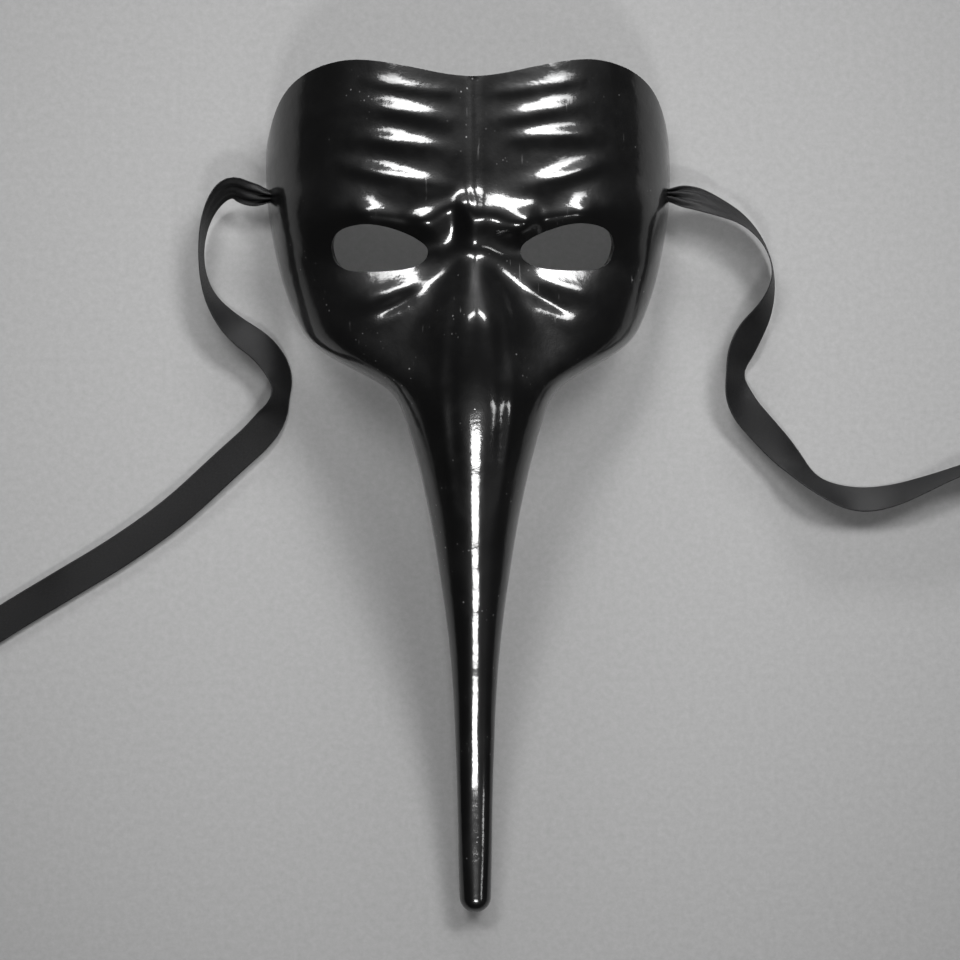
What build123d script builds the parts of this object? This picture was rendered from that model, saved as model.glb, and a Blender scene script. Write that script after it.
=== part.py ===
"""Glossy long-nosed half mask with two ribbon ties, lying face up on a table.

Millimetres. +Z is up from the table, +X runs across the mask as it is seen from above,
and the nose points along -Y. The origin is on the table, below the middle of the mask.
"""

import os
from math import pi, radians, tan

from build123d import *

# Driving dimensions of the moulded shell
WALL = 2.0
HALF_WIDTH = 80.6
SHELL_TOP = 90.0
LIP_Y = 36.0

# Face: half width and height of the oval section at each distance along Y
FACE_STATIONS = [
    (175.0, 75.0, 45.0),
    (150.0, 79.0, 51.0),
    (118.0, HALF_WIDTH, 56.0),
    (90.0, 79.0, 57.0),
    (60.0, 73.0, 54.0),
    (30.0, 66.0, 47.0),
]

# Nose: half width, centre height and half height of the oval section along Y
NOSE_STATIONS = [
    (100.0, 9.0, 50.0, 8.0),
    (78.0, 17.0, 48.5, 16.5),
    (60.0, 26.0, 42.5, 23.5),
    (42.0, 33.0, 38.5, 26.0),
    (28.0, 27.6, 37.0, 24.5),
    (14.0, 22.8, 35.0, 22.0),
    (0.0, 19.4, 32.0, 19.2),
    (-18.0, 15.8, 29.0, 15.7),
    (-40.0, 12.3, 26.0, 12.3),
    (-65.0, 9.4, 21.8, 9.4),
    (-95.0, 7.8, 16.6, 7.8),
    (-128.0, 6.8, 11.4, 6.8),
]
NOSE_TIP_RADIUS = 6.3
NOSE_TIP_Y = -160.4

# Plan outline of the face, right half, from the top centre round to the nose
TOP_DIP = (0.0, 158.8)
FACE_OUTLINE = [
    TOP_DIP,
    (48.0, 166.7),
    (68.3, 161.0),
    (77.0, 147.5),
    (HALF_WIDTH, 120.0),
    (75.9, 90.0),
    (64.0, 60.5),
    (34.4, 41.6),
]

# Eye hole of the right side, in plan
EYE_OUTLINE = [
    (17.4, 93.0),
    (22.0, 86.9),
    (34.0, 85.3),
    (50.4, 87.0),
    (54.9, 95.6),
    (50.4, 100.6),
    (40.8, 102.9),
    (28.0, 99.6),
]

# Ribbon tie: its hole through the temple, its knot inside and its gathered core
TIE_HOLE_RADIUS = 2.4
TIE_Y = 117.5
TIE_Z = 12.0
KNOT_RADIUS = 4.5
KNOT_LENGTH = 7.0
KNOT_ROUNDING = 2.0
KNOT_FACE_X = 75.5
RIBBON_CORE_RADIUS = 2.0
ARC_SHARE = 0.45

# Route of each ribbon's centre line, from its knot to its free end
LEFT_ROUTE = [
    (-KNOT_FACE_X, TIE_Y, TIE_Z),
    (-86.0, TIE_Y, 12.0),
    (-95.0, 122.6, 11.5),
    (-103.6, 112.5, 9.5),
    (-107.0, 96.4, 8.0),
    (-104.4, 79.7, 7.5),
    (-94.6, 66.6, 7.0),
    (-80.0, 56.5, 6.5),
    (-73.6, 42.6, 5.0),
    (-80.4, 27.0, 4.0),
    (-97.5, 12.0, 3.6),
    (-117.5, -6.5, 3.4),
    (-140.3, -22.4, 3.2),
    (-164.3, -36.4, 3.0),
    (-188.3, -50.6, 3.0),
    (-211.0, -65.5, 3.0),
    (-226.5, -87.0, 3.0),
    (-228.0, -113.0, 3.0),
    (-216.5, -137.0, 3.0),
    (-222.5, -160.0, 3.0),
    (-242.0, -165.0, 3.0),
    (-256.0, -148.0, 3.0),
    (-258.0, -125.0, 3.0),
]
RIGHT_ROUTE = [
    (KNOT_FACE_X, TIE_Y, TIE_Z),
    (86.3, TIE_Y, 12.0),
    (97.4, 113.6, 11.5),
    (109.4, 108.0, 10.5),
    (118.2, 98.0, 9.0),
    (121.8, 85.6, 8.0),
    (118.4, 72.6, 7.5),
    (110.2, 61.0, 7.0),
    (104.8, 47.6, 6.5),
    (107.6, 34.6, 6.0),
    (117.2, 23.6, 5.0),
    (126.9, 13.1, 4.5),
    (135.2, 3.6, 4.2),
    (146.6, -2.6, 4.0),
    (158.0, -4.6, 4.0),
    (170.3, -2.4, 3.8),
    (183.3, 2.4, 3.5),
    (196.0, 7.4, 3.0),
    (210.0, 10.4, 3.0),
    (226.0, 7.4, 3.0),
    (239.0, -6.0, 3.0),
    (243.0, -28.0, 3.0),
    (236.0, -52.0, 3.0),
    (224.0, -74.0, 3.0),
    (218.5, -99.0, 3.0),
    (226.0, -122.0, 3.0),
    (246.0, -133.5, 3.0),
    (264.0, -121.0, 3.0),
    (267.0, -98.0, 3.0),
]


def face_barrel(inset):
    """The face's oval barrel, smaller all round by inset."""
    with BuildPart() as barrel:
        for y, half_width, height in FACE_STATIONS:
            with BuildSketch(Plane.XZ.offset(-y)):
                Ellipse(half_width - inset, height - inset)
        loft()
    return barrel.part


def nose_horn(inset):
    """The nose's tapering horn with its round tip, smaller all round by inset."""
    tip_radius = NOSE_TIP_RADIUS - inset
    with BuildPart() as horn:
        for y, half_width, centre, half_height in NOSE_STATIONS:
            with BuildSketch(Plane.XZ.offset(-y)):
                with Locations((0, centre)):
                    Ellipse(half_width - inset, half_height - inset)
        with BuildSketch(Plane.XZ.offset(-NOSE_TIP_Y)):
            with Locations((0, NOSE_TIP_RADIUS)):
                Ellipse(tip_radius, tip_radius)
        loft()
        with Locations(Location((0, NOSE_TIP_Y, NOSE_TIP_RADIUS), (90, 0, 0))):
            Sphere(tip_radius, arc_size1=0, align=(Align.CENTER, Align.CENTER, Align.MIN))
    return horn.part


def corner_radii(route):
    """One radius for each corner of a route, as large as its two runs allow."""
    points = [Vector(*point) for point in route]
    radii = []
    for before, corner, after in zip(points, points[1:], points[2:]):
        run_in = corner - before
        run_out = after - corner
        half_turn = radians(run_in.get_angle(run_out)) / 2
        radii.append(ARC_SHARE * min(run_in.length, run_out.length) / tan(half_turn))
    return radii


def report_ribbon(name, part, length, radii):
    """Print a ribbon's length, radii and volume, for a check by eye."""
    section_times_length = pi * RIBBON_CORE_RADIUS**2 * length
    print(f"{name}: length {length:.1f}")
    print(f"{name}: radii {[round(radius, 1) for radius in radii]}")
    print(f"{name}: volume {part.volume:.0f}, section times length {section_times_length:.0f}")


# Tool solids of the shell
face_outside = face_barrel(0)
face_inside = face_barrel(WALL)
nose_outside = nose_horn(0)
nose_inside = nose_horn(WALL)

with BuildPart() as face_hollow:
    add(face_inside)
    split(bisect_by=Plane.XZ.offset(-LIP_Y), keep=Keep.BOTTOM)

# The moulded shell: barrel trimmed to its plan outline, joined to the nose and hollowed
with BuildPart() as mask_shell:
    add(face_outside)
    with BuildSketch():
        with BuildLine():
            Spline(*FACE_OUTLINE, tangents=[(1, 0), (-1, -0.25)])
            Polyline(FACE_OUTLINE[-1], (FACE_OUTLINE[-1][0], LIP_Y), (0, LIP_Y), TOP_DIP)
        make_face()
        mirror(about=Plane.YZ)
    extrude(amount=SHELL_TOP, mode=Mode.INTERSECT)
    add(nose_outside)
    add(face_hollow, mode=Mode.SUBTRACT)
    add(nose_inside, mode=Mode.SUBTRACT)
    with BuildSketch():
        with BuildLine():
            Spline(*EYE_OUTLINE, periodic=True)
        make_face()
        mirror(about=Plane.YZ)
    extrude(amount=SHELL_TOP, mode=Mode.SUBTRACT)
    with Locations(Location((0, TIE_Y, TIE_Z), (0, 90, 0))):
        Cylinder(TIE_HOLE_RADIUS, 3 * HALF_WIDTH, mode=Mode.SUBTRACT)
mask_shell.part.label = "mask_shell"

# The knots that hold the ribbons inside the temples
with BuildPart() as right_knot:
    with BuildSketch(Plane.YZ.offset(KNOT_FACE_X)):
        with Locations((TIE_Y, TIE_Z)):
            Circle(KNOT_RADIUS)
    extrude(amount=-KNOT_LENGTH)
    fillet(right_knot.edges().filter_by(GeomType.CIRCLE), radius=KNOT_ROUNDING)
right_knot.part.label = "right_knot"

with BuildPart() as left_knot:
    mirror(right_knot.part, about=Plane.YZ)
left_knot.part.label = "left_knot"

# The ribbons' gathered cores: round tubes of straight runs joined by arcs
left_radii = corner_radii(LEFT_ROUTE)
with BuildPart() as left_ribbon:
    with BuildLine() as left_path:
        FilletPolyline(*LEFT_ROUTE, radius=left_radii)
    with BuildSketch(Plane(origin=left_path.line @ 0, z_dir=left_path.line % 0)):
        Circle(RIBBON_CORE_RADIUS)
    sweep()
left_ribbon.part.label = "left_ribbon"
report_ribbon("left_ribbon", left_ribbon.part, left_path.wire().length, left_radii)

right_radii = corner_radii(RIGHT_ROUTE)
with BuildPart() as right_ribbon:
    with BuildLine() as right_path:
        FilletPolyline(*RIGHT_ROUTE, radius=right_radii)
    with BuildSketch(Plane(origin=right_path.line @ 0, z_dir=right_path.line % 0)):
        Circle(RIBBON_CORE_RADIUS)
    sweep()
right_ribbon.part.label = "right_ribbon"
report_ribbon("right_ribbon", right_ribbon.part, right_path.wire().length, right_radii)

os.makedirs("parts", exist_ok=True)
for piece in [mask_shell, left_knot, right_knot, left_ribbon, right_ribbon]:
    export_step(piece.part, f"parts/{piece.part.label}.step")
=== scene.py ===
"""Glossy long-nosed half mask with satin ribbon ties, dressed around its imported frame.

Metres, in the frame of the CAD model: +Z is up from the table, the nose points along -Y
and the wearer's forehead lies towards +Y. Sizes in the classes below are in millimetres
and are turned into metres where a mesh is made.
"""

import logging
import math
from dataclasses import dataclass
from enum import Enum

import bmesh
import bpy
import numpy as np
from mathutils import Matrix, Vector, noise


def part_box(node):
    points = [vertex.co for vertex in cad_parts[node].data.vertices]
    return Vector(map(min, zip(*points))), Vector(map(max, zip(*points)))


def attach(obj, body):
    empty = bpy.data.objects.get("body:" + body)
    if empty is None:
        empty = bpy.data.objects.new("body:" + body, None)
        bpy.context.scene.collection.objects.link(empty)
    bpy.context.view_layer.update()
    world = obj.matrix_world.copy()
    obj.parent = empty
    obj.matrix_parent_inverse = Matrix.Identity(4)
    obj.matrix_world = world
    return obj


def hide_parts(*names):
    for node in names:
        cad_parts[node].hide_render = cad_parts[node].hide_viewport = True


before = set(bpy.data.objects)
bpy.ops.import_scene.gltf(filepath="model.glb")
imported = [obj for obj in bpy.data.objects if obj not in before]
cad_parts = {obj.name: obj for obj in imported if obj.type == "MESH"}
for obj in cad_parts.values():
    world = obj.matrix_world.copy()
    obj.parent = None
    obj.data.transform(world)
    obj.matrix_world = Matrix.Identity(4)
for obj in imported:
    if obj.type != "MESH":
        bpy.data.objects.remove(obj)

LOG = logging.getLogger("mask")
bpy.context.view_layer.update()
MM = 0.001
ROOT = "root"
FULL_TURN = 2 * math.pi

Point2 = tuple[float, float]
Point3 = tuple[float, float, float]
Source = float | bpy.types.Node | bpy.types.NodeSocket


class Slot(Enum):
    """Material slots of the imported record."""

    SHELL = "lacquered_shell"
    RIBBON = "satin_ribbon"


class Side(Enum):
    """Side of the mask as it is seen from above, with its sign along X."""

    LEFT = -1
    RIGHT = 1

    @property
    def word(self) -> str:
        """The side's name in node and piece names."""
        return self.name.lower()


# -------------------- shared helpers


def smooth_line(points: tuple[Point2, ...], steps: int = 8) -> np.ndarray:
    """Run a smooth Catmull-Rom line through a few points.

    Args:
        points: The points that the line passes through.
        steps: Pieces between one point and the next.

    Returns:
        The line's points, one row each.
    """
    knots = np.array(points, float)
    ends = (2 * knots[:1] - knots[1:2], 2 * knots[-1:] - knots[-2:-1])
    padded = np.vstack([ends[0], knots, ends[1]])
    share = np.linspace(0, 1, steps, endpoint=False)[:, None]
    runs = []
    for before, start, end, after in zip(padded, padded[1:], padded[2:], padded[3:]):
        bend = 2 * before - 5 * start + 4 * end - after
        twist = 3 * start - before - 3 * end + after
        runs.append(
            start + 0.5 * share * ((end - before) + share * (bend + share * twist))
        )
    return np.vstack([*runs, knots[-1:]])


def both_halves(half: tuple[Point2, ...]) -> tuple[Point2, ...]:
    """Mirror a line on the right half, which ends on the middle, onto the left half."""
    return half + tuple((-x, y) for x, y in half[-2::-1])


def run_along(line: np.ndarray) -> np.ndarray:
    """Measure the way along a line to each of its points."""
    steps = np.linalg.norm(np.diff(line, axis=0), axis=1)
    return np.concatenate([[0], np.cumsum(steps)])


def ease(share: np.ndarray) -> np.ndarray:
    """Turn a share into a smooth step from 0 to 1."""
    share = np.clip(share, 0, 1)
    return share * share * (3 - 2 * share)


def middle_of(node: str) -> Vector:
    """Find the middle of a CAD node's box, in metres."""
    low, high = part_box(node)
    return (low + high) / 2


def grey(tone: float, blue: float = 1.0) -> Point3:
    """Make a grey whose blue is scaled a little."""
    return tone, tone, tone * blue


@dataclass(frozen=True)
class Profile:
    """A measure that changes smoothly from station to station.

    The stations are pairs of place and value, in millimetres, and softness is how far
    each corner of the curve is spread.
    """

    stations: tuple[Point2, ...]
    softness: float = 3.0

    def at(self, where: np.ndarray) -> np.ndarray:
        """Read the measure.

        Args:
            where: Places along the profile.

        Returns:
            The value at each place.
        """
        step = 0.25
        line = smooth_line(tuple(sorted(self.stations)), steps=24)
        places = np.arange(line[0, 0], line[-1, 0] + step, step)
        values = np.interp(places, line[:, 0], line[:, 1])
        reach = int(3 * self.softness / step)
        kernel = np.exp(-0.5 * (np.arange(-reach, reach + 1) * step / self.softness) ** 2)
        first = values[0] + (values[1] - values[0]) * np.arange(-reach, 0)
        last = values[-1] + (values[-1] - values[-2]) * np.arange(1, reach + 1)
        padded = np.concatenate([first, values, last])
        return np.interp(where, places, np.convolve(padded, kernel / kernel.sum(), "valid"))


@dataclass(frozen=True)
class Fold:
    """A soft ridge along a line on the face, or a groove where its height is negative.

    The line is given on the right half and shows on both halves, unless side says one.
    """

    line: tuple[Point2, ...]
    height: float
    width: float
    fade: float = 12.0
    side: Side | None = None

    def lift(self, x: np.ndarray, y: np.ndarray) -> np.ndarray:
        """Work out how far the fold lifts the surface.

        Args:
            x: Places across the mask.
            y: Places along the mask.

        Returns:
            The lift at each place, in millimetres.
        """
        across = np.abs(x) if self.side is None else x * self.side.value
        line = smooth_line(self.line)
        nearest = np.full(x.shape, np.inf)
        along = np.zeros(x.shape)
        run = 0.0
        for start, end in zip(line, line[1:]):
            step = end - start
            length = float(np.hypot(*step))
            share = ((across - start[0]) * step[0] + (y - start[1]) * step[1]) / length**2
            share = np.clip(share, 0, 1)
            gap = np.hypot(
                across - start[0] - share * step[0], y - start[1] - share * step[1]
            )
            closer = gap < nearest
            nearest = np.where(closer, gap, nearest)
            along = np.where(closer, run + share * length, along)
            run += length
        ends = ease(along / self.fade) * ease((run - along) / self.fade)
        return self.height * np.exp(-((nearest / self.width) ** 2)) * ends


@dataclass(frozen=True)
class Hollow:
    """A soft oval hollow on both halves of the face, or a swelling if its depth is negative."""

    centre: Point2
    radii: Point2
    depth: float
    turn: float = 0.0
    flatness: float = 1.0

    def lift(self, x: np.ndarray, y: np.ndarray) -> np.ndarray:
        """Work out how far the hollow lifts the surface, which is downwards.

        Args:
            x: Places across the mask.
            y: Places along the mask.

        Returns:
            The lift at each place, in millimetres.
        """
        angle = math.radians(self.turn)
        across = np.abs(x) - self.centre[0]
        along = y - self.centre[1]
        major = (across * math.cos(angle) + along * math.sin(angle)) / self.radii[0]
        minor = (along * math.cos(angle) - across * math.sin(angle)) / self.radii[1]
        return -self.depth * np.exp(-((major**2 + minor**2) ** self.flatness))


@dataclass(frozen=True)
class Outline:
    """A closed or wide line in plan, read as a distance from a point inside it."""

    centre: Point2
    points: tuple[Point2, ...]

    def inside(self, x: np.ndarray, y: np.ndarray) -> np.ndarray:
        """Say how far inside the line each place is.

        Args:
            x: Places across the mask.
            y: Places along the mask.

        Returns:
            Millimetres inside the line, and negative outside.
        """
        line = smooth_line(self.points, steps=16) - np.array(self.centre)
        angles = np.unwrap(np.arctan2(line[:, 1], line[:, 0]))
        reach = np.hypot(line[:, 0], line[:, 1])
        order = np.argsort(angles)
        across, along = x - self.centre[0], y - self.centre[1]
        low = angles.min()
        place = low + np.mod(np.arctan2(along, across) - low, FULL_TURN)
        return np.interp(place, angles[order], reach[order]) - np.hypot(across, along)


def trim(mesh: bmesh.types.BMesh, keep: bmesh.types.BMLayerItem) -> None:
    """Cut a surface along the line where a vertex value passes zero, and drop the rest.

    Args:
        mesh: The surface to cut.
        keep: Layer of vertex values, above zero where the surface stays.
    """
    snap = 0.25
    moves: dict[bmesh.types.BMVert, tuple[float, Vector]] = {}
    for edge in mesh.edges:
        for near, far in (edge.verts, reversed(edge.verts)):
            if near[keep] * far[keep] < 0:
                share = near[keep] / (near[keep] - far[keep])
                if share < snap and share < moves.get(near, (1.0,))[0]:
                    moves[near] = (share, near.co.lerp(far.co, share))
    for vertex, (_, place) in moves.items():
        vertex.co = place
        vertex[keep] = 0.0
    for edge in [e for e in mesh.edges if e.verts[0][keep] * e.verts[1][keep] < 0]:
        start, end = edge.verts
        share = start[keep] / (start[keep] - end[keep])
        _, made = bmesh.utils.edge_split(edge, start, share)
        made[keep] = 0.0
    for face in list(mesh.faces):
        values = [v[keep] for v in face.verts]
        if min(values) >= 0 or max(values) <= 0:
            continue
        on_line = [i for i, value in enumerate(values) if value == 0]
        for i, j in [(i, j) for i in on_line for j in on_line if j > i + 1]:
            between = values[i + 1 : j]
            rest = values[j + 1 :] + values[:i]
            if not between or not rest:
                continue
            if max(between) <= 0 <= min(rest) or max(rest) <= 0 <= min(between):
                bmesh.utils.face_split(face, face.verts[i], face.verts[j])
                break
    outside = [f for f in mesh.faces if min(v[keep] for v in f.verts) < 0]
    bmesh.ops.delete(mesh, geom=outside, context="FACES")


def even_rim(mesh: bmesh.types.BMesh, rounds: int, merge: float) -> None:
    """Space the vertices of every open rim evenly, so that its bevel runs clean.

    Args:
        mesh: The open surface.
        rounds: How many times the rims are evened.
        merge: Distance within which two rim vertices become one.
    """
    for _ in range(rounds):
        rim = {v: [] for e in mesh.edges if e.is_boundary for v in e.verts}
        for edge in mesh.edges:
            if edge.is_boundary:
                first, second = edge.verts
                rim[first].append(second.co.copy())
                rim[second].append(first.co.copy())
        for vertex, beside in rim.items():
            if len(beside) == 2:
                vertex.co = 0.5 * vertex.co + 0.25 * (beside[0] + beside[1])
        bmesh.ops.remove_doubles(
            mesh, verts=[v for v in mesh.verts if v.is_boundary], dist=merge
        )


def add_piece(
    mesh: bmesh.types.BMesh, name: str, material: bpy.types.Material
) -> bpy.types.Object:
    """Make a smooth-shaded object of a finished bmesh, at the world's origin.

    Args:
        mesh: The finished bmesh, which is freed.
        name: Name of the piece.
        material: Its finish.

    Returns:
        The new object.
    """
    data = bpy.data.meshes.new(name)
    mesh.to_mesh(data)
    mesh.free()
    data.shade_smooth()
    data.materials.append(material)
    piece = bpy.data.objects.new(name, data)
    bpy.context.scene.collection.objects.link(piece)
    return piece


# -------------------- finishes


class Nodes:
    """A material's node tree, with short calls to add and join its nodes."""

    def __init__(self, name: str) -> None:
        """Start an empty material with its output and shader.

        Args:
            name: Name of the material.
        """
        self.material = bpy.data.materials.new(name)
        self.material.use_nodes = True
        self.tree = self.material.node_tree
        self.tree.nodes.clear()
        self.shader = self.add("ShaderNodeBsdfPrincipled")
        output = self.add("ShaderNodeOutputMaterial")
        self.join(self.shader, "BSDF", output, "Surface")

    def add(self, kind: str, **settings: object) -> bpy.types.Node:
        """Add a node.

        Args:
            kind: Blender's name of the node type.
            settings: Properties of the node, or values of its inputs by name.

        Returns:
            The new node.
        """
        node = self.tree.nodes.new(kind)
        for key, value in settings.items():
            if hasattr(node, key):
                setattr(node, key, value)
            else:
                node.inputs[key.replace("_", " ")].default_value = value
        return node

    def join(
        self, source: bpy.types.Node, output: str | int, target: bpy.types.Node, entry: str | int
    ) -> None:
        """Join one node's output to another's input."""
        self.tree.links.new(source.outputs[output], target.inputs[entry])

    def shade(self, **values: float) -> None:
        """Set constant values on the shader's own sockets."""
        for key, value in values.items():
            self.shader.inputs[key.replace("_", " ")].default_value = value

    def texture(
        self, kind: str, place: bpy.types.Node, output: str, **settings: object
    ) -> bpy.types.Node:
        """Add a texture or mapping node that reads its places from another node.

        Args:
            kind: Blender's name of the node type.
            place: Node that gives the places.
            output: Name of the place node's output.
            settings: As in add.

        Returns:
            The new node.
        """
        node = self.add(kind, **settings)
        self.join(place, output, node, "Vector")
        return node

    def math(self, operation: str, first: Source, second: Source = 0.0) -> bpy.types.Node:
        """Add a math node.

        Args:
            operation: Blender's name of the operation.
            first: A number, a socket, or a node whose first output is read.
            second: The same, for the second input.

        Returns:
            The math node.
        """
        node = self.add("ShaderNodeMath", operation=operation)
        for entry, value in enumerate((first, second)):
            if isinstance(value, bpy.types.Node):
                self.join(value, 0, node, entry)
            elif isinstance(value, bpy.types.NodeSocket):
                self.tree.links.new(value, node.inputs[entry])
            else:
                node.inputs[entry].default_value = value
        return node

    def ramp(self, source: bpy.types.Node, band: Point2) -> bpy.types.Node:
        """Add a smooth step of a node's first output.

        Args:
            source: The node that is read.
            band: The values at which the step is 0 and 1.

        Returns:
            The ramp's node.
        """
        node = self.add("ShaderNodeMapRange", interpolation_type="SMOOTHSTEP")
        node.inputs["From Min"].default_value = band[0]
        node.inputs["From Max"].default_value = band[1]
        self.join(source, 0, node, "Value")
        return node

    def colour(self, low: Point3, high: Point3, share: bpy.types.Node) -> None:
        """Colour the shader with a mix of two colours.

        Args:
            low: Colour where the share is 0.
            high: Colour where the share is 1.
            share: Node whose first output is the share.
        """
        mix = self.add("ShaderNodeMix", data_type="RGBA")
        mix.inputs["A"].default_value = (*low, 1)
        mix.inputs["B"].default_value = (*high, 1)
        self.join(share, 0, mix, "Factor")
        self.join(mix, "Result", self.shader, "Base Color")

    def roughen(self, base: float, extra: float, share: bpy.types.Node) -> None:
        """Make the shader rougher where a share is high.

        Args:
            base: Roughness where the share is 0.
            extra: What is added where it is 1.
            share: Node whose first output is the share.
        """
        added = self.math("MULTIPLY", share, extra)
        self.join(self.math("ADD", added, base), 0, self.shader, "Roughness")

    def bump(self, height: bpy.types.Node, relief: Point2) -> bpy.types.Node:
        """Add a bump of a node's first output, on top of any that the shader has.

        Args:
            height: The node that gives the height.
            relief: The bump's strength, and its depth in metres.

        Returns:
            The bump's node.
        """
        node = self.add("ShaderNodeBump")
        node.inputs["Strength"].default_value = relief[0]
        node.inputs["Distance"].default_value = relief[1]
        self.join(height, 0, node, "Height")
        entry = self.shader.inputs["Normal"]
        if entry.is_linked:
            self.tree.links.new(entry.links[0].from_socket, node.inputs["Normal"])
        self.join(node, "Normal", self.shader, "Normal")
        return node


@dataclass(frozen=True)
class Lacquer:
    """Thick black gloss lacquer over moulded pulp, with orange peel, dust and hairlines.

    A scale is about how many features lie in a metre. A band is the pair of texture
    values at which a pattern is out and in, and a relief is a bump's strength and its
    depth in metres.
    """

    tone: float = 0.002
    tone_blue: float = 1.05
    roughness: float = 0.32
    coat_roughness: float = 0.095
    pulp_scale: float = 75.0
    pulp_relief: Point2 = (0.55, 0.00045)
    peel_scale: float = 620.0
    peel_relief: Point2 = (0.30, 0.00012)
    nib_scale: float = 330.0
    nib_band: Point2 = (0.16, 0.05)
    patch_scale: float = 48.0
    dusty_band: Point2 = (0.52, 0.72)
    hair_scales: Point3 = (900.0, 60.0, 300.0)
    hair_turn: float = 14.0
    hair_band: Point2 = (0.735, 0.77)
    hair_share: float = 0.6
    mark_tone: float = 0.16
    mark_relief: Point2 = (0.35, 0.00010)
    handled_band: Point2 = (0.40, 0.75)
    handled_roughness: float = 0.14

    def make(self) -> bpy.types.Material:
        """Build the lacquer's nodes.

        Returns:
            The material.
        """
        noise_kind = "ShaderNodeTexNoise"
        nodes = Nodes("black_lacquer")
        place = nodes.add("ShaderNodeTexCoord")
        # Slow waves of the brushed pulp under the lacquer, and orange peel of the lacquer
        waves = nodes.texture(
            noise_kind, place, "Object", Scale=self.pulp_scale, Detail=2.0, Roughness=0.5
        )
        peel = nodes.texture(
            noise_kind, place, "Object", Scale=self.peel_scale, Detail=3.0, Roughness=0.6
        )
        # Dust nibs caught in the coat, in patches
        nibs = nodes.texture(
            "ShaderNodeTexVoronoi", place, "Object", Scale=self.nib_scale, Randomness=1.0
        )
        patch = nodes.texture(
            noise_kind, place, "Object", Scale=self.patch_scale, Detail=3.0, Roughness=0.65
        )
        dusty = nodes.ramp(patch, self.dusty_band)
        dust = nodes.math("MULTIPLY", nodes.ramp(nibs, self.nib_band), dusty)
        # Hairline scratches in the same patches, long and thin along the mask
        turned = nodes.texture("ShaderNodeMapping", place, "Object")
        turned.inputs["Scale"].default_value = self.hair_scales
        turned.inputs["Rotation"].default_value = (0.0, 0.0, math.radians(self.hair_turn))
        hair = nodes.texture(noise_kind, turned, "Vector", Scale=1.0, Detail=1.0, Roughness=0.4)
        scratched = nodes.math("MULTIPLY", nodes.ramp(hair, self.hair_band), dusty)
        faint = nodes.math("MULTIPLY", scratched, self.hair_share)
        marks = nodes.math("MAXIMUM", dust, faint)
        nodes.colour(grey(self.tone, self.tone_blue), grey(self.mark_tone), marks)
        # Handling marks dull the gloss in patches
        handled = nodes.ramp(patch, self.handled_band)
        nodes.roughen(self.roughness, self.handled_roughness, handled)
        nodes.bump(waves, self.pulp_relief)
        nodes.bump(peel, self.peel_relief)
        surface = nodes.bump(marks, self.mark_relief)
        nodes.shade(Coat_Weight=1.0, Coat_Roughness=self.coat_roughness, Coat_IOR=1.5)
        nodes.shade(IOR=1.45, Specular_IOR_Level=0.22)
        nodes.join(surface, "Normal", nodes.shader, "Coat Normal")
        return nodes.material


@dataclass(frozen=True)
class Satin:
    """Black woven satin ribbon, smooth along its length with a corded selvedge.

    Its UV map runs in metres along the ribbon and from 0 to 1 across it. Glint is a lighter
    colour painted on the slubs and along the selvedge as a painted sheen. A band and a
    relief are as in the lacquer.
    """

    tone: float = 0.003
    tone_blue: float = 1.06
    glint: float = 0.012
    glint_blue: float = 1.05
    glint_band: Point2 = (0.35, 0.8)
    warp_threads: float = 46.0
    weft_per_metre: float = 2600.0
    weft_share: float = 0.5
    weave_share: float = 0.35
    weave_relief: Point2 = (0.45, 0.00008)
    slubs_per_metre: float = 900.0
    selvedge_band: Point2 = (0.455, 0.470)
    selvedge_glint: float = 0.8
    picots_per_metre: float = 1100.0
    picot_base: float = 1.4
    picot_relief: Point2 = (0.6, 0.00018)
    roughness: float = 0.40
    slub_band: Point2 = (0.2, 0.9)
    slub_roughness: float = 0.16

    def make(self) -> bpy.types.Material:
        """Build the satin's nodes on the ribbon's own UV map.

        Returns:
            The material.
        """
        nodes = Nodes("black_satin")
        place = nodes.add("ShaderNodeUVMap", uv_map="weave")
        split = nodes.texture("ShaderNodeSeparateXYZ", place, "UV")
        along, across = split.outputs["X"], split.outputs["Y"]

        def wave(way: bpy.types.NodeSocket, count: float) -> bpy.types.Node:
            """Add a sine with so many waves along a UV axis."""
            return nodes.math("SINE", nodes.math("MULTIPLY", way, FULL_TURN * count))

        weft = nodes.math("MULTIPLY", wave(along, self.weft_per_metre), self.weft_share)
        weave = nodes.math("ADD", wave(across, self.warp_threads), weft)
        floats = nodes.texture("ShaderNodeMapping", place, "UV")
        floats.inputs["Scale"].default_value = (self.slubs_per_metre, self.warp_threads, 1.0)
        slub = nodes.texture(
            "ShaderNodeTexNoise", floats, "Vector", Scale=1.0, Detail=2.0, Roughness=0.6
        )
        # Thick corded selvedge at each edge, with a painted glint along it
        from_edge = nodes.math("ABSOLUTE", nodes.math("SUBTRACT", across, 0.5))
        selvedge = nodes.ramp(from_edge, self.selvedge_band)
        picot = nodes.math("ADD", wave(along, self.picots_per_metre), self.picot_base)
        picot_edge = nodes.math("MULTIPLY", selvedge, picot)
        edge_glint = nodes.math("MULTIPLY", selvedge, self.selvedge_glint)
        # Painted sheen: the base colour turns to the lighter glint colour on the slubs and along the
        # selvedge
        painted_sheen = nodes.math("MAXIMUM", nodes.ramp(slub, self.glint_band), edge_glint)
        nodes.colour(
            grey(self.tone, self.tone_blue), grey(self.glint, self.glint_blue), painted_sheen
        )
        nodes.roughen(self.roughness, self.slub_roughness, nodes.ramp(slub, self.slub_band))
        height = nodes.math("ADD", nodes.math("MULTIPLY", weave, self.weave_share), slub)
        nodes.bump(height, self.weave_relief)
        nodes.bump(picot_edge, self.picot_relief)
        nodes.shade(Anisotropic=0.6, Specular_IOR_Level=0.2, IOR=1.45)
        nodes.shade(Sheen_Weight=0.01, Sheen_Roughness=0.4)
        return nodes.material


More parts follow.
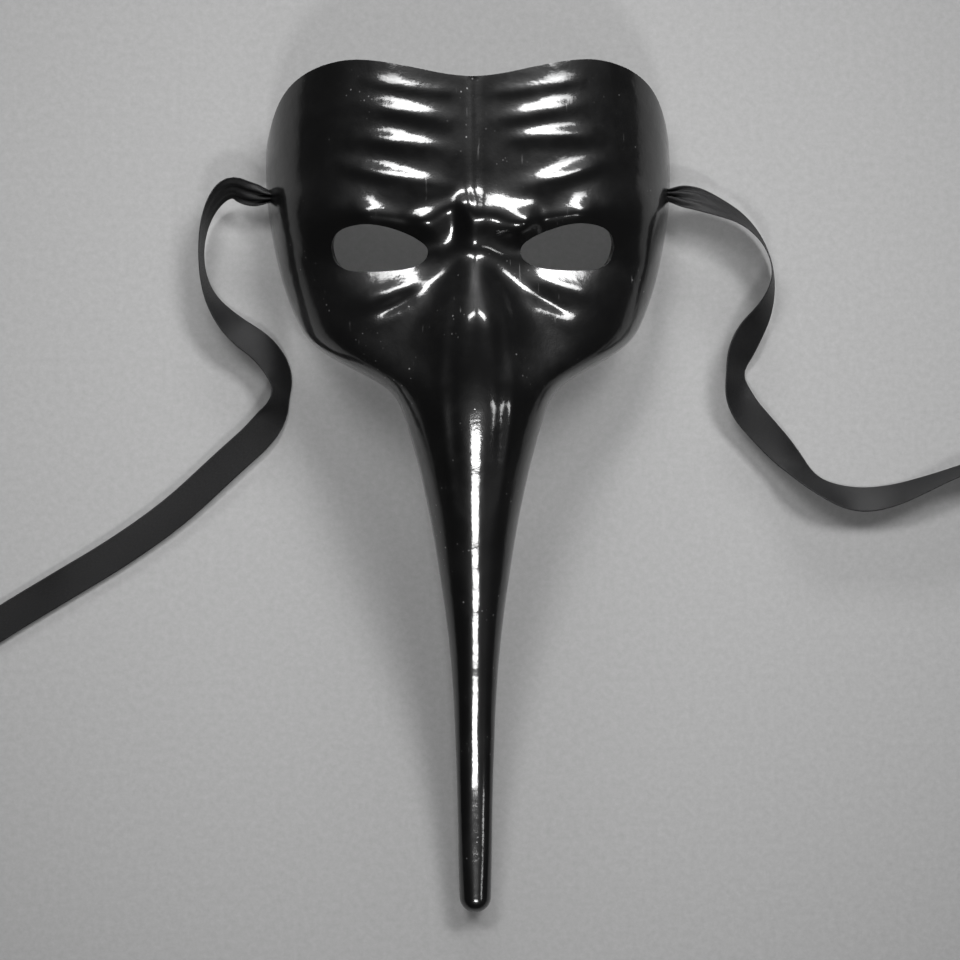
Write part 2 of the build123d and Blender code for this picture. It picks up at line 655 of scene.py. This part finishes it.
@dataclass(frozen=True)
class PaperFloor:
    """Pale sheet of paper under the mask, with its side in metres."""

    side: float = 5.0
    tone: float = 0.24
    grain_scale: float = 380.0
    grain_contrast: float = 0.22
    grain_relief: Point2 = (0.15, 0.0002)

    def build(self) -> None:
        """Lay the floor below the mask and keep it out of the model."""
        nodes = Nodes("pale_paper")
        place = nodes.add("ShaderNodeTexCoord")
        grain = nodes.texture(
            "ShaderNodeTexNoise", place, "Object", Scale=self.grain_scale, Detail=5.0, Roughness=0.8
        )
        dark, light = 1 - self.grain_contrast, 1 + self.grain_contrast
        nodes.colour(grey(self.tone * dark), grey(self.tone * light), grain)
        nodes.bump(grain, self.grain_relief)
        nodes.shade(Roughness=0.9, Specular_IOR_Level=0.15)
        mesh = bmesh.new()
        bmesh.ops.create_grid(mesh, x_segments=1, y_segments=1, size=self.side / 2)
        add_piece(mesh, "floor", nodes.material)


# -------------------- moulded shell

# Crown and ridge are one line from the brow back
FOREHEAD: tuple[Point2, ...] = (
    (100, 54.2), (105, 55.3), (112, 55.7), (130, 55.2), (150, 54.0), (158.8, 53.5), (180, 51.8),
)


@dataclass(frozen=True)
class ShellForm:
    """The shell's smooth form: a face barrel that runs into a long tapering nose.

    Each cross-section at a distance along Y is an oval. Its upper half is the surface
    that shows, with a bell-shaped nose bridge on the face, and its lower half closes the
    nose underneath. The profiles give, at each distance, the oval's half width, the
    height of its widest point, the face's crown and the ridge of brow and nose, and the
    bridge's width and how square the section is. The folds and hollows fade out where a
    section's side rises less than settle_rise of the way to its crown.
    """

    half_width: Profile = Profile(
        (
            (-160.4, 6.3), (-146, 6.6), (-122, 6.95), (-97.5, 7.7), (-81, 8.4), (-65, 9.5),
            (-49, 11.2), (-34, 13.3), (-18, 15.8), (-2.6, 18.7), (12.8, 22.2), (28.3, 26.6),
            (36, 29.6), (41.6, 34.4), (47.6, 44.6), (53.6, 55.6), (59.7, 63.2), (66, 67.4),
            (78, 72.4), (90, 75.9), (104, 78.7), (120, 80.6), (136, 80.5), (150, 79.5),
            (165, 77.6), (180, 75),
        ),
        1.8,
    )
    widest_height: Profile = Profile(
        (
            (-160.4, 6.3), (-128, 11.4), (-95, 16.6), (-65, 21.8), (-40, 26), (-18, 29),
            (0, 32), (14, 34.6), (28, 36.2), (36, 35.5), (42, 31), (48, 24), (54, 17.5),
            (60, 12.8), (66, 9.2), (78, 4.6), (90, 1.6), (105, 0), (180, 0),
        ),
        2.5,
    )
    crown: Profile = Profile(
        (
            (-160.4, 12.6), (-140, 15), (-120, 17.9), (-100, 21.8), (-80, 26.9), (-60, 32.6),
            (-40, 38.6), (-20, 44.9), (0, 51.3), (14, 55.9), (28, 59.9), (36, 61), (42, 58.8),
            (48, 55), (54, 52.4), (60, 51.2), (70, 50.2), (80, 49.6), (90, 50.4), (95, 52.3),
            *FOREHEAD,
        ),
        3.0,
    )
    ridge: Profile = Profile(
        (
            (-160.4, 12.6), (-140, 15), (-120, 18), (-100, 22), (-80, 27.2), (-60, 33),
            (-40, 39.1), (-20, 45.6), (0, 52.2), (14, 57.2), (28, 61.8), (36, 63.9), (48, 65.7),
            (60, 65.8), (65, 65.5), (67.5, 65), (70, 63.9), (74, 61.7), (80, 58.4), (88, 54.3),
            (93, 53), *FOREHEAD,
        ),
        1.5,
    )
    bell_width: Profile = Profile(
        (
            (-170, 4), (-120, 4), (-80, 4.6), (-40, 5.6), (0, 7.5), (14, 9), (28, 12.5),
            (42, 17), (54, 18), (64, 17), (72, 14.5), (80, 11), (90, 7), (180, 7),
        ),
        3.0,
    )
    squareness: Profile = Profile(
        (
            (-160.4, 2.1), (-120, 2.3), (0, 2.3), (16, 2.3), (30, 2.45), (44, 2.6), (54, 2.5),
            (66, 2.4), (85, 2.4), (112, 2.3), (126, 2), (180, 2),
        ),
        4.0,
    )
    tip_y: float = -166.7
    tip_start: float = -160.4
    lip_y: float = 36.0
    lip_rise: float = 7.0
    under_depth: float = 25.5
    settle_rise: float = 0.45

    # The grid: steps along Y of nose, nose root and face, rows of the round tip, columns
    nose_step: float = 2.6
    root_step: float = 1.9
    face_step: float = 1.17
    root_start: float = -40.0
    face_start: float = 26.0
    face_end: float = 172.5
    tip_rows: int = 10
    upper_columns: int = 160
    lower_columns: int = 14
    oval_share: float = 0.72

    folds: tuple[Fold, ...] = (
        # Forehead wrinkles, from the top edge down
        Fold(((0.5, 152), (16, 153.4), (32, 156.4), (48, 160)), 0.36, 2.2, 14),
        Fold(((0.5, 140.8), (14, 142.8), (30, 146.4), (50, 150)), 0.82, 3.3, 20),
        Fold(((0.5, 129.6), (16, 131.4), (34, 134.8), (54, 138)), 0.9, 3.3, 20, Side.LEFT),
        Fold(((7, 132.6), (18, 135), (36, 136.8), (54, 137)), 0.9, 3.3, 14, Side.RIGHT),
        Fold(((0.5, 115), (14, 117.2), (30, 120.8), (46, 125), (60, 131)), 1.05, 3.3, 20, Side.LEFT),
        Fold(((10, 115), (22, 117.6), (34, 120.8), (46, 125), (60, 131)), 1.1, 3.3, 20, Side.RIGHT),
        # Crease between the brows and up the forehead
        Fold(((0, 172), (0, 150), (0, 130), (0, 112), (0, 99)), -0.7, 2.0, 8),
        # Brow and its frowning inner end
        Fold(((6, 98.5), (16, 100.8), (28, 103.4), (40, 106), (50, 108)), 2.7, 4.8, 12),
        Fold(((36, 105.4), (43, 106.8), (50, 108), (60, 110)), 0.8, 4.6, 10),
        Fold(((-2, 110.5), (7, 109.2), (13, 106.8), (19, 104.4), (26, 102)), 1.8, 4.2, 8, Side.LEFT),
        Fold(((-9, 105), (3, 105), (12, 103.6), (20, 101.8), (27, 100.4)), 4.8, 8.2, 9, Side.RIGHT),
        # Cheek folds below the eye holes
        Fold(((14, 81.5), (24, 78.6), (36, 75.6), (50, 71.5)), 0.95, 4.0, 12, Side.LEFT),
        Fold(((16, 83.2), (26, 80.8), (38, 77.8), (52, 73.5)), 0.55, 3.2, 12, Side.RIGHT),
        # Crease below the cheek and the shoulder of the nose
        Fold(((19, 78.6), (25, 75.2), (32, 71.4), (40, 67.6)), -0.75, 2.4, 9),
        Fold(((14, 77), (23, 72), (35, 66), (45, 61.5)), 0.4, 3.6, 9),
        # Flutes down both flanks of the nose
        Fold(((8.5, 84), (12, 66), (13.6, 48), (13.2, 28), (11, 8), (8, -14)), 0.35, 2.4, 16),
        Fold(((5.5, 80), (8.4, 64), (9.4, 46), (9, 26), (7.5, 6)), -0.25, 2.2, 16),
    )
    # The eye sockets
    hollows: tuple[Hollow, ...] = (Hollow((35, 95), (30, 10.6), 5.4, -9, 0.85),)

    def rows(self) -> np.ndarray:
        """List the distances along Y of the cross-sections, closer on the face.

        Returns:
            The distances, in millimetres.
        """
        reach = self.tip_start - self.tip_y
        turns = np.linspace(0, math.pi / 2, self.tip_rows + 1)[:-1]
        return np.concatenate(
            [
                self.tip_start - reach * np.cos(turns),
                np.arange(self.tip_start, self.root_start, self.nose_step),
                np.arange(self.root_start, self.face_start, self.root_step),
                np.arange(self.face_start, self.face_end, self.face_step),
            ]
        )

    def columns(self) -> np.ndarray:
        """List the angles of the columns round a section, closer above than below.

        The upper columns are evenly spread round an oval oval_share as high as it is wide.

        Returns:
            The angles, 0 at the section's top.
        """
        quarter = math.pi / 2
        fine = np.linspace(-quarter, quarter, 2001)
        spread = np.cumsum(np.hypot(np.cos(fine), self.oval_share * np.sin(fine)))
        spread = (spread - spread[0]) / (spread[-1] - spread[0])
        upper = np.interp(np.linspace(0, 1, self.upper_columns + 1), spread, fine)
        lower = np.linspace(quarter, math.pi, self.lower_columns + 1)[1:]
        return np.concatenate([-lower[::-1], upper, lower])

    def place(self, turn: np.ndarray, y: np.ndarray) -> np.ndarray:
        """Put each point of the section grid on the surface.

        Args:
            turn: Angle round the section, 0 at its top.
            y: Distance along the mask.

        Returns:
            The points, one row each, in millimetres.
        """
        inner = np.clip((self.tip_start - y) / (self.tip_start - self.tip_y), 0, 1)
        round_end = np.sqrt(np.clip(1 - inner**2, 0, 1))
        station = np.maximum(y, self.tip_start)
        half, middle = self.half_width.at(station), self.widest_height.at(station)
        crown, ridge = self.crown.at(station), self.ridge.at(station)
        x = half * np.sin(turn) * round_end
        above = np.cos(turn) > 0
        bulge = self.squareness.at(station)
        rise = np.clip(1 - np.abs(np.sin(turn)) ** bulge, 0, 1) ** (1 / bulge)
        rise = np.where(above, rise, np.cos(turn)) * round_end
        upper = middle + (crown - middle) * rise
        upper += (ridge - crown) * np.exp(-((x / self.bell_width.at(station)) ** 2))
        steady = ease(rise / self.settle_rise) * above
        for shape in (*self.folds, *self.hollows):
            upper += shape.lift(x, y) * steady
        under = middle + np.minimum(crown - middle, self.under_depth) * rise
        return np.stack([x, y, np.where(above, upper, under)], axis=1)


@dataclass(frozen=True)
class MaskShell:
    """The moulded half mask: one lacquered shell with eye holes and tie holes.

    The brim's outline trims the surface behind brim_from, the lip is where the nose's
    underside ends, and uncut is the margin where no edge is near.
    """

    form: ShellForm = ShellForm()
    wall: float = 2.0
    rim_bevel: float = 0.55
    rim_segments: int = 3
    rim_angle: float = 50.0
    rim_merge: float = 0.4
    weld: float = 0.02
    unevenness: float = 0.16
    unevenness_length: float = 22.0
    brim_from: float = 118.0
    temple_from: float = 60.0
    side_scale: float = 60.0
    lip_power: int = 6
    uncut: float = 50.0
    edge: Outline = Outline(
        (0, 100),
        both_halves(
            (
                (120, 60), (96, 118), (84.5, 130), (80.6, 138), (77.6, 147.5), (74.4, 154.6),
                (68.6, 160.8), (60, 165), (49, 166.9), (38, 166), (24, 163), (11, 160),
                (0, 158.9),
            )
        ),
    )
    eye: Outline = Outline(
        (37, 94),
        (
            (55.0, 94.4), (53.6, 99.2), (49.2, 102.2), (40.8, 103.1), (32.8, 101.7),
            (25.2, 99), (19.8, 95.9), (17.3, 93.1), (18.0, 90.3), (20.4, 87.9),
            (25.4, 86.2), (32.0, 85.5), (40.4, 85.4), (48.0, 86.1), (52.8, 89), (55.0, 94.4),
        ),
    )
    tie_radius: float = 2.4

    def margin(self, points: np.ndarray, turn: np.ndarray) -> np.ndarray:
        """Say how far each point is inside the shell's trimmed edge.

        Args:
            points: The points, in millimetres.
            turn: Their angles round the section.

        Returns:
            Millimetres inside the edge, and negative where the shell is cut away.
        """
        x, y, z = points.T
        side = np.cos(turn) * self.side_scale
        side[np.abs(side) < 1e-6] = 0.0
        lip = self.form.lip_y + self.form.lip_rise * np.abs(np.sin(turn)) ** self.lip_power
        body = np.maximum(side, lip - y)
        body = np.where((side == 0) & (y >= lip), 0.0, body)
        brim = np.where(y > self.brim_from, self.edge.inside(x, y), self.uncut)
        eyes = -self.eye.inside(np.abs(x), y)
        eyes = np.where(np.cos(turn) > 0, eyes, self.uncut)
        # The knots sit behind the tie holes
        hole = middle_of("right_knot") / MM
        ties = np.hypot(y - hole.y, z - hole.z) - self.tie_radius
        ties = np.where(np.abs(x) > self.temple_from, ties, self.uncut)
        return np.minimum.reduce([body, brim, eyes, ties])

    def build(self, finish: bpy.types.Material) -> bpy.types.Object:
        """Build the shell.

        Args:
            finish: The lacquer.

        Returns:
            The shell's piece.
        """
        rows, columns = self.form.rows(), self.form.columns()
        mesh = bmesh.new()
        bmesh.ops.create_grid(
            mesh, x_segments=len(columns) - 1, y_segments=len(rows) - 1, size=1.0
        )
        mesh.verts.ensure_lookup_table()
        flat = np.array([v.co[:2] for v in mesh.verts])
        turn = columns[np.rint((flat[:, 0] + 1) / 2 * (len(columns) - 1)).astype(int)]
        along = rows[np.rint((flat[:, 1] + 1) / 2 * (len(rows) - 1)).astype(int)]
        points = self.form.place(turn, along)
        keep = mesh.verts.layers.float.new("keep")
        for vertex, place, inside in zip(mesh.verts, points, self.margin(points, turn)):
            spot = Vector(place)
            spot.z += self.unevenness * noise.noise(spot / self.unevenness_length)
            vertex.co = spot * MM
            vertex[keep] = inside
        trim(mesh, keep)
        bmesh.ops.remove_doubles(mesh, verts=mesh.verts, dist=self.weld * MM)
        even_rim(mesh, rounds=4, merge=self.rim_merge * MM)
        bmesh.ops.recalc_face_normals(mesh, faces=mesh.faces)
        top = max(mesh.faces, key=lambda face: face.calc_center_median().z)
        if top.normal.z < 0:
            bmesh.ops.reverse_faces(mesh, faces=mesh.faces)
        piece = add_piece(mesh, "moulded_shell", finish)
        wall = piece.modifiers.new("wall", "SOLIDIFY")
        wall.thickness = self.wall * MM
        wall.offset = -1
        wall.use_even_offset = True
        rim = piece.modifiers.new("rim", "BEVEL")
        rim.width = self.rim_bevel * MM
        rim.segments = self.rim_segments
        rim.limit_method = "ANGLE"
        rim.angle_limit = math.radians(self.rim_angle)
        rim.harden_normals = True
        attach(piece, ROOT)
        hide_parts("mask_shell")
        return piece


# -------------------- ribbon ties


@dataclass(frozen=True)
class RibbonForm:
    """How a ribbon is turned and gathered along its length.

    Each station is a pair of the distance from the knot and a value: the roll in degrees
    from lying flat, and the share by which the ribbon is gathered into pleats. A full
    gather takes away narrowing of the width. The cup is a slight bend across the ribbon
    that comes and goes along it, and clearance keeps the lower edge above the table.
    """

    side: Side
    route: tuple[Point3, ...]
    roll: tuple[Point2, ...]
    gather: tuple[Point2, ...] = ((0, 1.0), (4, 1.0), (7, 0.55), (12, 0.3), (22, 0.12), (36, 0.0))
    width: float = 12.7
    thickness: float = 0.32
    narrowing: float = 0.70
    pleats: float = 2.5
    pleat_depth: float = 1.75
    pleat_room: float = 1.9
    pleat_phase: float = 0.7
    cup: float = 0.30
    cup_length: float = 17.0
    spacing: float = 1.5
    clearance: float = 0.7
    threads: int = 18

    def centre_line(self) -> np.ndarray:
        """Read the route's smooth line at even steps.

        Returns:
            The line's points, one row each, in millimetres.
        """
        curve = bpy.data.curves.new("route", "CURVE")
        curve.dimensions = "3D"
        curve.resolution_u = 16
        spline = curve.splines.new("NURBS")
        spline.points.add(len(self.route) - 1)
        for point, place in zip(spline.points, self.route):
            point.co = (*(value * MM for value in place), 1.0)
        spline.order_u = 3
        spline.use_endpoint_u = True
        holder = bpy.data.objects.new("route", curve)
        mesh = bpy.data.meshes.new_from_object(holder)
        line = np.array([v.co for v in mesh.vertices]) / MM
        bpy.data.meshes.remove(mesh)
        bpy.data.objects.remove(holder)
        bpy.data.curves.remove(curve)
        run = run_along(line)
        steps = np.linspace(0, run[-1], int(run[-1] / self.spacing) + 1)
        return np.stack([np.interp(steps, run, line[:, axis]) for axis in range(3)], axis=1)

    def build(self, finish: bpy.types.Material) -> tuple[bpy.types.Object, np.ndarray]:
        """Build the ribbon as a woven strip that follows its route.

        Args:
            finish: The satin.

        Returns:
            The ribbon's piece, and its centre line in metres.
        """
        line = self.centre_line()
        run = run_along(line)
        roll = np.radians(Profile(self.roll, softness=4.0).at(run))
        gather = np.clip(Profile(self.gather, softness=2.0).at(run), 0, 1)
        widths = self.width * (1 - self.narrowing * gather)
        # Lift the line where a rolled ribbon's lower edge would touch the table
        reach = widths / 2 * np.sin(np.abs(roll)) + self.pleat_room * gather
        heights = np.maximum(line[:, 2], reach + self.clearance)
        line[:, 2] = Profile(tuple(zip(run, heights)), softness=2.0).at(run)
        ahead = np.gradient(line, axis=0)
        ahead /= np.linalg.norm(ahead, axis=1)[:, None]
        level = np.cross(ahead, (0.0, 0.0, 1.0))
        level /= np.linalg.norm(level, axis=1)[:, None]
        upright = np.cross(level, ahead)
        broad = level * np.cos(roll)[:, None] + upright * np.sin(roll)[:, None]
        face = np.cross(ahead, broad)
        mesh = bmesh.new()
        bmesh.ops.create_grid(
            mesh, x_segments=len(line) - 1, y_segments=self.threads, size=1.0, calc_uvs=True
        )
        weave = mesh.loops.layers.uv.verify()
        for vertex in mesh.verts:
            station = round((vertex.co.x + 1) / 2 * (len(line) - 1))
            across = vertex.co.y / 2
            pull = gather[station]
            pleat = math.sin(FULL_TURN * self.pleats * across + self.pleat_phase)
            bowl = (1 - 4 * across * across) * math.sin(run[station] / self.cup_length)
            depth = self.pleat_depth * pleat * pull + self.cup * bowl * (1 - pull)
            spot = line[station] + broad[station] * widths[station] * across
            vertex.co = Vector(spot + face[station] * depth) * MM
            for loop in vertex.link_loops:
                loop[weave].uv = (run[station] * MM, across + 0.5)
        bmesh.ops.recalc_face_normals(mesh, faces=mesh.faces)
        piece = add_piece(mesh, f"{self.side.word}_satin_ribbon", finish)
        piece.data.uv_layers[0].name = "weave"
        cloth = piece.modifiers.new("cloth", "SOLIDIFY")
        cloth.thickness = self.thickness * MM
        cloth.offset = 0
        return piece, line * MM


@dataclass(frozen=True)
class TieKnot:
    """Overhand knot behind the temple wall that keeps a ribbon in its hole.

    It is a trefoil line with so many points, and strand is the radius of its cord.
    """

    side: Side
    strand: float = 1.15
    points: int = 40

    def build(self, finish: bpy.types.Material) -> bpy.types.Object:
        """Build the knot inside its CAD node's box.

        Args:
            finish: The satin.

        Returns:
            The knot's piece.
        """
        low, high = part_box(f"{self.side.word}_knot")
        centre, size = (low + high) / 2, high - low
        radius = self.strand * MM
        curve = bpy.data.curves.new("knot", "CURVE")
        curve.dimensions = "3D"
        curve.resolution_u = 6
        curve.bevel_depth = radius
        curve.bevel_resolution = 5
        spline = curve.splines.new("NURBS")
        spline.points.add(self.points - 1)
        reach = min(size.y, size.z) / 2 - radius
        for index, point in enumerate(spline.points):
            turn = FULL_TURN * index / self.points
            point.co = (
                centre.x + (size.x / 2 - radius) * math.sin(3 * turn),
                centre.y + reach / 3 * (math.sin(turn) + 2 * math.sin(2 * turn)),
                centre.z + reach / 3 * (math.cos(turn) - 2 * math.cos(2 * turn)),
                1.0,
            )
        spline.order_u = 4
        spline.use_cyclic_u = True
        holder = bpy.data.objects.new("knot", curve)
        data = bpy.data.meshes.new_from_object(holder)
        mesh = bmesh.new()
        mesh.from_mesh(data)
        bpy.data.objects.remove(holder)
        bpy.data.curves.remove(curve)
        bpy.data.meshes.remove(data)
        bmesh.ops.recalc_face_normals(mesh, faces=mesh.faces)
        return add_piece(mesh, f"{self.side.word}_ribbon_knot", finish)


@dataclass(frozen=True)
class RibbonTie:
    """One ribbon with its knot, leaving the mask through a temple hole.

    The length is the whole ribbon's, in metres, and is not used.
    """

    form: RibbonForm
    length: float

    def build(self, finish: bpy.types.Material) -> list[bpy.types.Object]:
        """Args:
            finish: The satin.

        Returns:
            The ribbon and its knot.
        """
        word = self.form.side.word
        ribbon, path = self.form.build(finish)
        knot = TieKnot(self.form.side).build(finish)
        for piece, node in ((ribbon, f"{word}_ribbon"), (knot, f"{word}_knot")):
            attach(piece, ROOT)
            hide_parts(node)
        hole = middle_of(f"{word}_knot")
        low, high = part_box("mask_shell")
        hole.x = high.x if self.form.side is Side.RIGHT else low.x
        [tuple(point) for point in path]
        return [ribbon, knot]


LEFT_TIE = RibbonTie(
    RibbonForm(
        Side.LEFT,
        (
            (-75.5, 117.5, 12), (-86, 117.5, 12), (-95, 122.6, 11.5), (-103.6, 112.5, 9.5),
            (-107, 96.4, 8), (-104.4, 79.7, 7.5), (-94.6, 66.6, 7), (-80, 56.5, 6.5),
            (-73.6, 42.6, 5), (-80.4, 27, 4), (-97.5, 12, 3.6), (-117.5, -6.5, 3.2),
            (-140.3, -22.4, 2.8), (-164.3, -36.4, 2.4), (-188.3, -50.6, 2.2),
            (-211, -65.5, 2), (-226.5, -87, 2), (-228, -113, 2), (-216.5, -137, 2),
            (-222.5, -160, 2), (-242, -165, 2), (-256, -148, 2), (-258, -125, 2),
        ),
        ((0, 10), (10, 25), (22, 58), (36, 78), (52, 84), (66, 72), (78, 48), (92, 28), (108, 40),
         (117, 66), (126, 30), (138, 14), (200, 12), (260, 8), (330, 10), (400, 6), (470, 6)),
    ),
    0.450,
)

RIGHT_TIE = RibbonTie(
    RibbonForm(
        Side.RIGHT,
        (
            (75.5, 117.5, 12), (86.3, 117.5, 12), (97.4, 113.6, 11.5), (109.4, 108, 10.5),
            (118.2, 98, 9), (121.8, 85.6, 8), (118.4, 72.6, 7.5), (110.2, 61, 7),
            (104.8, 47.6, 6.5), (107.6, 34.6, 6), (117.2, 23.6, 5), (126.9, 13.1, 4.5),
            (135.2, 3.6, 4.2), (146.6, -2.6, 4), (158, -4.6, 4), (170.3, -2.4, 3.8),
            (183.3, 2.4, 3.5), (196, 7.4, 3), (210, 10.4, 2.6), (226, 7.4, 2.2), (239, -6, 2),
            (243, -28, 2), (236, -52, 2), (224, -74, 2), (218.5, -99, 2), (226, -122, 2),
            (246, -133.5, 2), (264, -121, 2), (267, -98, 2),
        ),
        ((0, 10), (12, 24), (26, 52), (44, 74), (60, 80), (74, 58), (88, 26), (97, 34), (104, 58),
         (111, 30), (122, 14), (140, 22), (152, 48), (162, 58), (180, 40), (200, 58), (222, 74),
         (246, 50), (275, 12), (330, 8), (470, 6)),
    ),
    0.455,
)


# -------------------- studio


@dataclass(frozen=True)
class SoftLight:
    """A softbox that looks at the mask from a direction, at a distance in metres.

    Its size is in metres, its power in watts, and its spread is the angle of its grid.
    """

    name: str
    direction: Point3
    distance: float
    size: Point2
    power: float
    target: Point3 = (0.0, 0.03, 0.03)
    spread: float = 46.0

    def build(self) -> None:
        """Hang the softbox and aim it at its target."""
        light = bpy.data.lights.new(self.name, "AREA")
        light.shape = "RECTANGLE"
        light.size, light.size_y = self.size
        light.energy = self.power
        light.spread = math.radians(self.spread)
        holder = bpy.data.objects.new(self.name, light)
        away = Vector(self.direction).normalized()
        holder.location = Vector(self.target) + away * self.distance
        holder.rotation_euler = away.to_track_quat("Z", "Y").to_euler()
        bpy.context.scene.collection.objects.link(holder)


@dataclass(frozen=True)
class Studio:
    """Floor, lights and the camera that looks nearly straight down on the mask.

    The camera hangs at a height above its aim and a little aside, in metres, and field
    is the width that it sees there. Roll is in degrees.
    """

    aim: Point3 = (0.0036, 0.0051, 0.0)
    height: float = 1.1
    aside: float = -0.048
    field: float = 0.384
    roll: float = -0.5
    ambient: float = 0.025
    lights: tuple[SoftLight, ...] = (
        SoftLight("main_softbox", (0.42, 0.60, 0.68), 1.25, (0.76, 0.26), 1.6),
        SoftLight("left_softbox", (-0.30, 0.60, 0.74), 1.35, (0.74, 0.24), 1.2),
        SoftLight("low_lamp", (0.0, -0.60, 0.80), 1.3, (0.34, 0.16), 0.5),
        SoftLight("side_lamp", (0.52, -0.42, 0.74), 1.3, (0.14, 0.30), 0.09),
        SoftLight("back_fill", (0.0, 0.96, 0.26), 1.2, (1.0, 0.16), 1.5),
    )

    def camera(self) -> None:
        """Hang the camera above the table and make it the scene's own."""
        data = bpy.data.cameras.new("overhead")
        data.sensor_width = 36.0
        aim = Vector(self.aim)
        place = aim + Vector((self.aside, 0.0, self.height))
        data.lens = data.sensor_width * (place - aim).length / self.field
        data.clip_start, data.clip_end = 0.05, 20.0
        holder = bpy.data.objects.new("overhead", data)
        holder.rotation_mode = "QUATERNION"
        back = place - aim
        across = Vector((0.0, 1.0, 0.0)).cross(back).normalized()
        up = back.normalized().cross(across)
        facing = Matrix((across, up, back.normalized())).transposed().to_quaternion()
        holder.rotation_quaternion = facing @ Matrix.Rotation(
            math.radians(self.roll), 3, "Z"
        ).to_quaternion()
        holder.location = place
        bpy.context.scene.collection.objects.link(holder)
        bpy.context.scene.camera = holder

    def build(self) -> None:
        """Set up the camera, the floor and the lights."""
        self.camera()
        PaperFloor().build()
        world = bpy.data.worlds.new("studio")
        world.use_nodes = True
        backdrop = world.node_tree.nodes["Background"]
        backdrop.inputs["Color"].default_value = (self.ambient,) * 3 + (1,)
        bpy.context.scene.world = world
        bpy.context.scene.view_settings.view_transform = "Standard"
        for light in self.lights:
            light.build()


def main() -> None:
    """Build the studio, the shell and the ties."""
    logging.basicConfig(level=logging.INFO, format="%(name)s: %(message)s")
    Studio().build()
    satin = Satin().make()
    pieces = [MaskShell().build(Lacquer().make())]
    for tie in (LEFT_TIE, RIGHT_TIE):
        pieces += tie.build(satin)
    for piece in pieces:
        LOG.info("built %s with %d faces", piece.name, len(piece.data.polygons))


if __name__ == "__main__":
    main()
